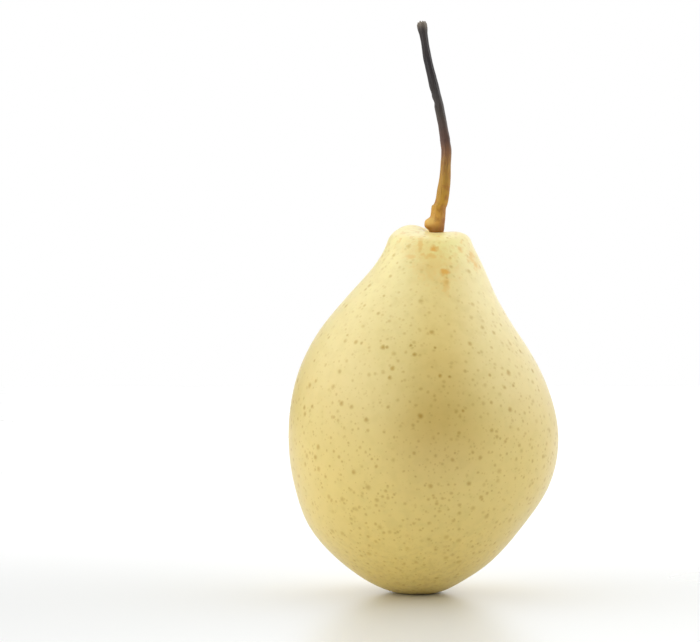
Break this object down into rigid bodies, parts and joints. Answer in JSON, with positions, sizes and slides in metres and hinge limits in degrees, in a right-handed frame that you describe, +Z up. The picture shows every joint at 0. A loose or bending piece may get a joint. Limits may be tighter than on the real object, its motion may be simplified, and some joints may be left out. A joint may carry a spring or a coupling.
{
  "type": "pear",
  "caption": "Whole pale yellow pear with a bent neck, a fleshy shoulder and a long curved stalk, resting on a flat ring at its flower end.",
  "frame": {"origin": "on the ground under the middle of the belly, the bottom centre of the bounding box", "axes": "+Z up from the flower end to the stalk, -Y towards the front view, +X to the right in it"},
  "size_m": [0.0688, 0.0672, 0.1462],
  "materials": {
    "pear_skin": "satin",
    "stalk_bark": "matt",
    "dry_calyx": "matt"
  },
  "bodies": {
    "root": {"fruit": "pear_skin", "stem": "stalk_bark", "calyx": "dry_calyx"}
  },
  "joints": []
}
